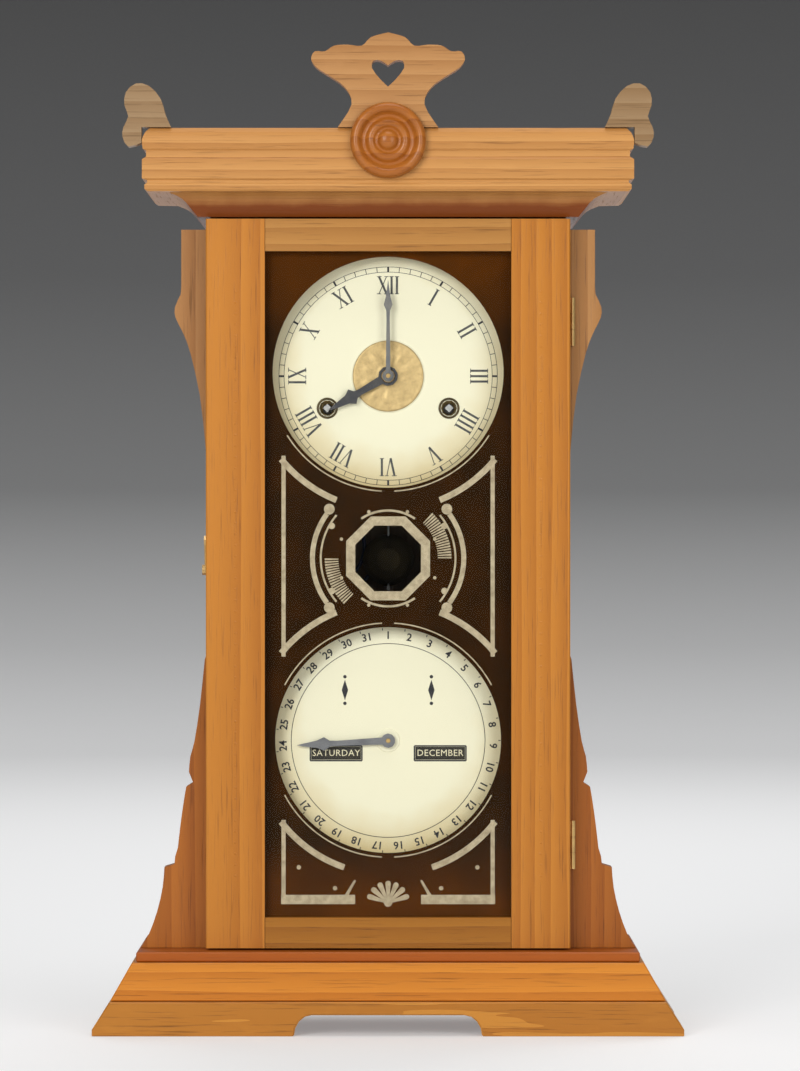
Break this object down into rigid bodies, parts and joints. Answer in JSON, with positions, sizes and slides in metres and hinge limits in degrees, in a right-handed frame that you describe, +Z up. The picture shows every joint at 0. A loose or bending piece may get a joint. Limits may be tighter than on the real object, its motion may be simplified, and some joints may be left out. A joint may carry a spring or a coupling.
{
  "type": "calendar clock",
  "caption": "Free-standing double-dial calendar shelf clock in a moulded golden oak case with a full-length glazed door, pendulum, strike and perpetual calendar.",
  "frame": {"origin": "on the floor plane, midway across the width and the depth of the clock", "axes": "+Z up, -Y towards the viewer of the dials, +X to the viewer's right"},
  "size_m": [0.365, 0.14, 0.6192],
  "materials": {
    "golden_oak": "varnished oak",
    "dark_oak": "darker varnished oak",
    "pale_wood": "unvarnished softwood",
    "tablet_glass": "clear glass with a painted back",
    "brass": "aged brass",
    "steel": "plain steel",
    "blackened_steel": "blackened steel",
    "dial_paper": "printed paper on sheet metal",
    "cast_iron": "black iron",
    "painted_wood": "turned wood painted black"
  },
  "bodies": {
    "case": {"apron": "golden_oak", "back_board": "pale_wood", "base_board": "golden_oak", "base_end_left": "dark_oak", "base_end_right": "dark_oak", "base_front": "golden_oak", "calendar_dial": "dial_paper", "calendar_frame": "cast_iron", "case_side_left": "dark_oak", "case_side_right": "dark_oak", "cornice_front": "golden_oak", "cornice_return_left": "golden_oak", "cornice_return_right": "golden_oak", "crest_board": "golden_oak", "dial_upright_left": "pale_wood", "dial_upright_right": "pale_wood", "ear_left": "golden_oak", "ear_right": "golden_oak", "gong": "cast_iron", "hinge_lower_fixed": "brass", "hinge_upper_fixed": "brass", "lower_wing_left": "dark_oak", "lower_wing_right": "dark_oak", "movement_back_plate": "brass", "movement_front_plate": "brass", "rosette": "golden_oak", "time_dial": "dial_paper", "top_board": "dark_oak", "upper_wing_left": "dark_oak", "upper_wing_right": "dark_oak"},
    "door": {"door_stile_left": "golden_oak", "door_stile_right": "golden_oak", "door_rail_top": "golden_oak", "door_rail_bottom": "golden_oak", "door_glass": "tablet_glass", "hinge_lower_moving": "brass", "hinge_upper_moving": "brass"},
    "hook": {"door_hook": "brass"},
    "centre": {"centre_arbor": "brass", "minute_hand": "blackened_steel"},
    "hour": {"hour_wheel": "brass", "hour_hand": "blackened_steel"},
    "minute": {"minute_wheel": "brass"},
    "third": {"third_wheel": "brass"},
    "escape": {"escape_wheel": "brass"},
    "time_great": {"time_great_wheel": "brass"},
    "strike_great": {"strike_great_wheel": "brass"},
    "time_winding": {"time_winding_arbor": "steel", "time_mainspring": "blackened_steel"},
    "strike_winding": {"strike_winding_arbor": "steel", "strike_mainspring": "blackened_steel"},
    "pendulum": {"pendulum_rod": "steel", "pendulum_bob": "brass"},
    "verge": {"verge": "steel"},
    "hammer": {"hammer": "steel"},
    "date": {"date_wheel": "brass", "date_hand": "blackened_steel"},
    "day": {"day_roller": "painted_wood"},
    "month": {"month_roller": "painted_wood"},
    "lift": {"lift_wire": "steel"}
  },
  "joints": [
    {"name": "door_hinge", "type": "hinge", "parent": "case", "child": "door", "pos_m": [0.115, -0.03695, 0.0526], "axis": [0, 0, 1], "range_deg": [0, 105]},
    {"name": "hook_pivot", "type": "hinge", "parent": "case", "child": "hook", "pos_m": [-0.1133, -0.022, 0.287], "axis": [1, 0, 0], "range_deg": [0, 60]},
    {"name": "centre_spin", "type": "hinge", "parent": "case", "child": "centre", "pos_m": [0, 0, 0.408], "axis": [0, 1, 0], "continuous": true},
    {"name": "hour_spin", "type": "hinge", "parent": "case", "child": "hour", "pos_m": [0, 0, 0.408], "axis": [0, 1, 0], "continuous": true},
    {"name": "minute_spin", "type": "hinge", "parent": "case", "child": "minute", "pos_m": [0.0192, 0, 0.408], "axis": [0, 1, 0], "continuous": true},
    {"name": "third_spin", "type": "hinge", "parent": "case", "child": "third", "pos_m": [0.012, 0, 0.4288], "axis": [0, 1, 0], "continuous": true},
    {"name": "escape_spin", "type": "hinge", "parent": "case", "child": "escape", "pos_m": [0, 0, 0.4468], "axis": [0, 1, 0], "continuous": true},
    {"name": "time_great_spin", "type": "hinge", "parent": "case", "child": "time_great", "pos_m": [0.038, 0, 0.388], "axis": [0, 1, 0], "continuous": true},
    {"name": "strike_great_spin", "type": "hinge", "parent": "case", "child": "strike_great", "pos_m": [-0.038, 0, 0.388], "axis": [0, 1, 0], "continuous": true},
    {"name": "time_winding_spin", "type": "hinge", "parent": "case", "child": "time_winding", "pos_m": [0.038, 0, 0.388], "axis": [0, 1, 0], "continuous": true},
    {"name": "strike_winding_spin", "type": "hinge", "parent": "case", "child": "strike_winding", "pos_m": [-0.038, 0, 0.388], "axis": [0, 1, 0], "continuous": true},
    {"name": "pendulum_swing", "type": "hinge", "parent": "case", "child": "pendulum", "pos_m": [0, 0.042, 0.464], "axis": [0, 1, 0], "range_deg": [-4, 4]},
    {"name": "verge_swing", "type": "hinge", "parent": "case", "child": "verge", "pos_m": [0, 0, 0.464], "axis": [0, 1, 0], "range_deg": [-4, 4]},
    {"name": "hammer_swing", "type": "hinge", "parent": "case", "child": "hammer", "pos_m": [-0.042, 0, 0.453], "axis": [0, 1, 0], "range_deg": [-1, 6], "stiffness_Nm_per_rad": 0.5, "springref_deg": 0.25},
    {"name": "date_spin", "type": "hinge", "parent": "case", "child": "date", "pos_m": [0, 0, 0.1805], "axis": [0, 1, 0], "continuous": true},
    {"name": "day_spin", "type": "hinge", "parent": "case", "child": "day", "pos_m": [-0.0325, -0.0117, 0.1725], "axis": [1, 0, 0], "continuous": true},
    {"name": "month_spin", "type": "hinge", "parent": "case", "child": "month", "pos_m": [0.0325, -0.0117, 0.1725], "axis": [1, 0, 0], "continuous": true},
    {"name": "lift_slide", "type": "slide", "parent": "case", "child": "lift", "axis": [0, 0, 1], "range_m": [0, 0.006]}
  ],
  "couplings": [
    {"joint": "hour_spin", "follows": "centre_spin", "ratio": 0.083333},
    {"joint": "minute_spin", "follows": "centre_spin", "ratio": -0.33333},
    {"joint": "third_spin", "follows": "centre_spin", "ratio": -10.286},
    {"joint": "escape_spin", "follows": "centre_spin", "ratio": 105.8},
    {"joint": "time_great_spin", "follows": "centre_spin", "ratio": -0.16667},
    {"joint": "verge_swing", "follows": "pendulum_swing", "ratio": 1},
    {"joint": "day_spin", "follows": "date_spin", "ratio": 4.4286},
    {"joint": "month_spin", "follows": "date_spin", "ratio": 0.083333}
  ]
}
